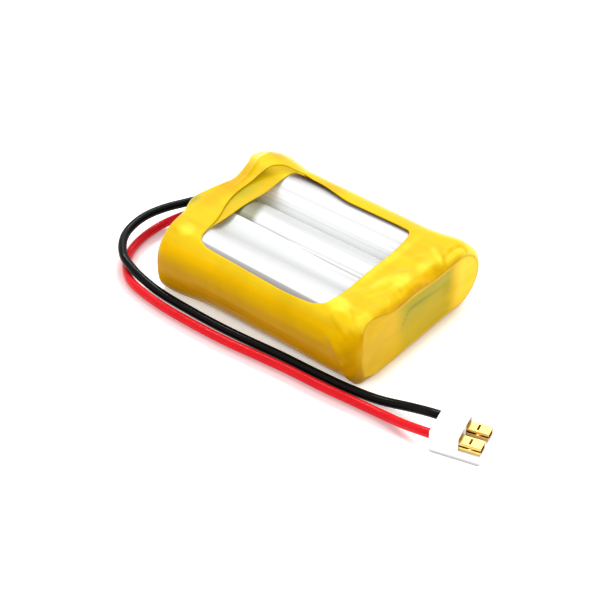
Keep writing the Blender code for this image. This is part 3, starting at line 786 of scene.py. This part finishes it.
def film_colour(look):
    """Yellow with painted shade that deepens it on the flanks, and painted highlights and shade from an
    attribute.
    """
    facing_up = look.math("MULTIPLY_ADD", look.normal()[2], 0.5, 0.5)
    # Painted shade: the colour deepens to orange on the flanks as the surface turns away from facing up.
    body = look.ramp(facing_up, [
        (0.0, (0.38, 0.185, 0.0)), (0.42, (0.385, 0.18, 0.0)), (0.55, (0.42, 0.21, 0.0)),
        (0.80, (0.64, 0.355, 0.0)), (0.92, (0.67, 0.44, 0.010)), (1.0, (0.67, 0.44, 0.003)),
    ])
    # Painted highlights and painted shade, paler and deeper, from the attribute.
    painted_light = look.attribute("painted_light")
    pale = look.mix(look.math("MULTIPLY", painted_light, 0.8, clamp=True), body, (0.86, 0.76, 0.055))
    deep = look.mix(look.math("MULTIPLY", painted_light, -0.9, clamp=True), pale, (0.60, 0.33, 0.0))
    # Painted olive shade at the left end.
    deep = look.mix(look.attribute("painted_olive_shade"), deep, (0.34, 0.31, 0.02))
    patches = look.ramp(look.noise(110.0, detail=2.0), [(0.3, 0.94), (0.7, 1.05)])
    streaks = look.ramp(look.noise((16.0, 300.0, 300.0)), [(0.36, 0.93), (0.62, 1.05)])
    return look.times(deep, look.times(patches, streaks))


def film_look():
    look = Look("film", roughness=0.25, specular_ior_level=0.16, specular_tint=FILM_TINT)
    look.feed("Base Color", film_colour(look))
    creases = look.noise((30.0, 420.0, 420.0))
    grain = look.noise(500.0)
    look.bump(look.math("ADD", creases, look.math("MULTIPLY", grain, 0.35)), 0.00010, 0.35)
    return look.material


def end_cover_look():
    """Film over the right ends: olive in its middle, with a darker stroke, a painted highlight on its rim
    and back, and painted shade near the lip.
    """
    look = Look("end_cover", roughness=0.36, specular_ior_level=0.10, specular_tint=FILM_TINT)
    body = look.mix(look.attribute("green"), (0.62, 0.375, 0.008), (0.345, 0.285, 0.010))
    # Painted highlight and painted light from the pale attribute.
    body = look.mix(look.attribute("pale"), body, (0.78, 0.52, 0.015))
    body = look.mix(look.math("MULTIPLY", look.attribute("smear"), 0.75), body, (0.17, 0.18, 0.015))
    # Painted shade near the lip.
    edge = look.math("MULTIPLY", look.attribute("painted_light"), -1.6, clamp=True)
    body = look.mix(edge, body, (0.58, 0.34, 0.004))
    wrinkles = look.noise((300.0, 120.0, 420.0))
    shade = look.ramp(wrinkles, [(0.3, 0.95), (0.7, 1.04)])
    look.feed("Base Color", look.times(body, shade))
    look.bump(wrinkles, 0.00012, 0.35)
    return look.material


def tape_look():
    """Yellow tape with a painted glow, strongest where the film stands off it, and painted olive shade
    under the lifted film.
    """
    look = Look("tape", roughness=0.30, specular_ior_level=0.20, specular_tint=FILM_TINT,
                emission_strength=0.30)
    # Painted olive shade in the groove under the lifted film.
    painted_olive_shade = look.math("MULTIPLY", look.attribute("painted_olive_shade"), 0.8)
    body = look.mix(painted_olive_shade, (0.44, 0.28, 0.004), (0.22, 0.22, 0.008))
    # Painted glow: emission that lifts the tape out of the film's shade.
    painted_glow = look.mix(look.attribute("painted_glow"), (0.80, 0.58, 0.008), (2.2, 1.7, 0.10))
    look.feed("Emission Color", painted_glow)
    grain = look.noise((60.0, 300.0, 300.0))
    look.feed("Base Color", look.times(body, look.ramp(grain, [(0.3, 0.95), (0.7, 1.04)])))
    look.bump(grain, 0.00006, 0.3)
    return look.material


def sleeve_look():
    """Silver sleeve: satin, with fine lengthwise lines, painted lighter on the side that faces the front,
    and a painted shadow beside the tape.
    """
    look = Look("sleeve", metallic=0.20, roughness=0.38)
    # Painted light: paler silver on the side facing the front.
    body = look.mix(look.attribute("painted_front_light"), (0.50, 0.505, 0.505), (0.93, 0.945, 0.94))
    lines = look.noise((9.0, 1500.0, 1500.0))
    body = look.times(body, look.ramp(lines, [(0.40, 0.89), (0.53, 1.0)]))
    # Painted shadow: the dark attribute turns the silver olive grey beside the tape and along the sheet's
    # edge.
    body = look.mix(look.attribute("dark"), body, (0.17, 0.165, 0.10))
    look.feed("Base Color", body)
    look.feed("Roughness", look.ramp(lines, [(0.35, 0.32), (0.65, 0.44)]))
    look.bump(lines, 0.00003, 0.25)
    return look.material


def foil_look():
    """The sheet over the front groove: silver, with a painted soft shade band and a painted shadow along
    its front edge.
    """
    look = Look("foil", metallic=0.20, roughness=0.40)
    body = look.mix(look.attribute("painted_groove_shade"), (0.56, 0.56, 0.56), (0.44, 0.45, 0.445))
    # Painted shadow of the film's edge, from the strip attribute.
    body = look.mix(look.attribute("strip"), body, (0.26, 0.245, 0.24))
    lines = look.noise((9.0, 700.0, 700.0), detail=2.0)
    look.feed("Base Color", look.times(body, look.ramp(lines, [(0.40, 0.975), (0.55, 1.0)])))
    look.bump(lines, 0.00003, 0.25)
    return look.material


def wire_look(name, colour, tint, gloss):
    """Silicone rubber: a shiny skin with faint patches and a fine grain."""
    look = Look(name, roughness=0.11, specular_ior_level=gloss, specular_tint=tint)
    marks = look.noise(260.0, detail=4.0)
    pale = tuple(min(c * 1.10 + 0.001, 1.0) for c in colour)
    look.feed("Base Color", look.ramp(marks, [(0.35, colour), (0.75, pale)]))
    look.bump(look.noise(1400.0, detail=2.0), 0.00002, 0.3)
    return look.material


def plain_look(name, colour, roughness, metallic):
    """A moulded or metal finish with a fine grain and a slight change of tone."""
    look = Look(name, roughness=roughness, metallic=metallic, specular_ior_level=0.3)
    grain = look.noise(FINE_GRAIN)
    dark = tuple(c * (1 - TONE_SPREAD) for c in colour)
    light = tuple(min(c * (1 + TONE_SPREAD), 1.0) for c in colour)
    look.feed("Base Color", look.ramp(grain, [(0.3, dark), (0.7, light)]))
    look.bump(grain, GRAIN_DEPTH, 0.4)
    return look.material


def housing_look():
    """White nylon with a fine grain, and a painted contact shadow along the foot where it meets the bench.
    """
    look = Look("housing", roughness=0.45, specular_ior_level=0.3)
    height = look.math("MULTIPLY", look.axes()[2], 200.0)
    # Painted contact shadow: greyer close to the bench.
    painted_foot_shadow = look.ramp(height, [(0.0, 0.55), (0.05, 0.58), (0.18, 1.0)])
    grain = look.noise(FINE_GRAIN)
    body = look.ramp(grain, [(0.3, 0.79), (0.7, 0.83)])
    look.feed("Base Color", look.times(body, painted_foot_shadow))
    look.bump(grain, GRAIN_DEPTH, 0.4)
    return look.material


# Finishes of the frame's own solids: colour, roughness, metallic.
PLAIN = {
    "nickel_steel": ((0.56, 0.56, 0.54), 0.30, 1.0),
    "nickel_strip": ((0.60, 0.58, 0.54), 0.34, 1.0),
    "aluminium": ((0.75, 0.75, 0.76), 0.35, 1.0),
    "electrode": ((0.03, 0.03, 0.035), 0.75, 0.0),
    "fish_paper": ((0.30, 0.37, 0.26), 0.80, 0.0),
    "gasket": ((0.05, 0.10, 0.30), 0.50, 0.0),
    "end_pad": ((0.22, 0.27, 0.12), 0.85, 0.0),
    "board": ((0.012, 0.10, 0.04), 0.38, 0.0),
    "chip": ((0.02, 0.02, 0.02), 0.45, 0.0),
    "resistor": ((0.03, 0.03, 0.035), 0.35, 0.0),
    "capacitor": ((0.36, 0.24, 0.14), 0.50, 0.0),
    "solder": ((0.62, 0.62, 0.62), 0.25, 1.0),
    "white_wire": ((0.70, 0.70, 0.68), 0.40, 0.0),
    "white_nylon": ((0.80, 0.80, 0.80), 0.45, 0.0),
    "gold": ((0.80, 0.52, 0.14), 0.22, 1.0),
    "silver_sleeve": ((0.62, 0.63, 0.65), 0.22, 0.9),
    "end_sheet": ((0.60, 0.40, 0.02), 0.35, 0.0),
    "yellow_tape": ((0.60, 0.42, 0.02), 0.35, 0.0),
    "yellow_film": ((0.66, 0.45, 0.02), 0.30, 0.0),
}


def dress_frame(looks):
    """Give every carried-over CAD node its own finish by the record's slot."""
    slots = {part["node"]: part["material_slot"] for part in frame["record"]["subparts"]}
    for name, obj in NODES.items():
        obj.data.materials.clear()
        obj.data.materials.append(looks[slots[name]])


# ================================================================ stage
FLOOR_REACH = 3000.0
FLOOR_Z = -0.02
GLOW_SHIFT = (0.6, -0.9)               # the red lead's glow falls toward the front
GLOW_REACH = (3.4, 1.5)                # where it ends and where it is full, from its middle
GLOW_HEIGHT = 1.3                      # how fast it goes as the lead leaves the bench
LIGHTS = {                             # place, width and depth in metres, and power in watts
    "key": ((-0.30, 0.45, 0.95), 0.8, 0.8, 5.0),
    "strip": ((-0.35, 0.30, 0.80), 0.6, 0.05, 2.6),
}


def build_floor():
    """A wide flat bench, finely divided near the pack to carry the red lead's glow."""
    xs = np.concatenate([[-FLOOR_REACH], np.arange(-60.0, 66.0, 0.75), [FLOOR_REACH]])
    ys = np.concatenate([[-FLOOR_REACH], np.arange(-40.0, 20.0, 0.75), [FLOOR_REACH]])
    x, y = (values.ravel() for values in np.meshgrid(xs, ys, indexing="ij"))
    route, _ = smooth_route(RED_ROUTE, ROUTE_STEP)
    glow_x, glow_y = route[:, 0] + GLOW_SHIFT[0], route[:, 1] + GLOW_SHIFT[1]
    gaps = np.hypot(x[:, None] - glow_x, y[:, None] - glow_y)
    nearest = (gaps + GLOW_HEIGHT * (route[:, 2] - LEAD_DIAMETER / 2)).min(1)
    points = np.stack([x, y, np.full_like(x, FLOOR_Z)], 1)
    faces = grid_faces(len(xs), len(ys))
    return place_mesh("floor", points, faces, floor_look(), {"red": smoothstep(*GLOW_REACH, nearest)})


def build_stage():
    build_floor()
    world = bpy.data.worlds.new("studio")
    bpy.context.scene.world = world
    world.use_nodes = True
    tree = world.node_tree
    direction = tree.nodes.new("ShaderNodeTexCoord")
    split = tree.nodes.new("ShaderNodeSeparateXYZ")
    glow = tree.nodes.new("ShaderNodeMapRange")        # brighter behind the pack
    tree.links.new(direction.outputs["Generated"], split.inputs[0])
    tree.links.new(split.outputs["Y"], glow.inputs["Value"])
    glow.inputs["From Min"].default_value = -1.0
    glow.inputs["From Max"].default_value = 1.0
    glow.inputs["To Min"].default_value = 0.95
    glow.inputs["To Max"].default_value = 1.25
    tree.links.new(glow.outputs["Result"], tree.nodes["Background"].inputs["Strength"])
    tree.nodes["Background"].inputs["Color"].default_value = (1.0, 1.0, 1.0, 1.0)
    for name, (place, width, depth, power) in LIGHTS.items():
        light = bpy.data.lights.new(name, "AREA")
        light.shape = "RECTANGLE"
        light.size = width
        light.size_y = depth
        light.energy = power
        obj = bpy.data.objects.new(name, light)
        bpy.context.scene.collection.objects.link(obj)
        obj.location = place
        obj.rotation_euler = Vector(place).to_track_quat("Z", "Y").to_euler()
    bpy.context.scene.view_settings.view_transform = "Standard"


def floor_look():
    """White bench: unlit and painted with shade under the pack, the yellow end's warm painted shade beside
    it, the red lead's painted pink shadow and glow.
    """
    look = Look("floor", roughness=0.9, emission_strength=0.40)
    x, y, _ = look.axes()
    beyond = look.math("MULTIPLY", x, 20.0)
    from_end = look.ramp(beyond, [(0.0, 0.0), (0.53, 0.0), (0.545, 1.0), (0.625, 0.0)])
    beside = look.math("ADD", look.math("MULTIPLY", y, 20.0), 0.5)
    width = look.ramp(beside, [(0.10, 0.0), (0.24, 1.0), (0.74, 1.0), (0.88, 0.0)])
    shade = look.math("MULTIPLY", from_end, width)
    from_middle = [look.math("MULTIPLY", look.math("ABSOLUTE", axis), 25.0) for axis in (x, y)]
    along = look.ramp(from_middle[0], [(0.65, 1.0), (0.69, 0.0)])
    across = look.ramp(from_middle[1], [(0.42, 1.0), (0.48, 0.0)])
    under = look.math("MULTIPLY", along, across)
    plain = look.ramp(look.noise(40.0), [(0.3, 0.90), (0.7, 0.92)])
    base = look.mix(shade, plain, (0.58, 0.51, 0.39))
    # Painted shadow of the red lead on the bench, tinted pink by its reflected light.
    red = look.attribute("red")
    base = look.mix(red, base, (0.60, 0.42, 0.43))
    look.feed("Base Color", look.mix(under, base, (0.45, 0.33, 0.12)))
    glow = look.mix(shade, (1.0, 0.965, 0.92), (0.74, 0.65, 0.51))
    glow = look.mix(red, glow, (0.76, 0.57, 0.58))
    look.feed("Emission Color", look.mix(under, glow, (0.0, 0.0, 0.0)))
    return look.material


# ================================================================ build
def main():
    build_camera()
    looks = {name: plain_look(name, *values) for name, values in PLAIN.items()}
    looks["red_wire"] = wire_look("red_wire", (0.61, 0.007, 0.013), (1.0, 0.60, 0.60), 0.15)
    looks["black_wire"] = wire_look("black_wire", (0.0020, 0.0024, 0.0026), (1.0, 1.0, 1.0), 0.09)
    black, black_length = build_lead("black", BLACK_ROUTE, looks["black_wire"])
    red, red_length = build_lead("red", RED_ROUTE, looks["red_wire"])
    dress_frame(looks)
    housing = build_housing(housing_look())
    build_film(film_look())
    sleeve = sleeve_look()
    for number in CELLS:
        build_sleeve(number, sleeve)
    build_groove_sheet(foil_look())
    build_tape(tape_look())
    build_end_cover(end_cover_look())
    build_stage()


main()
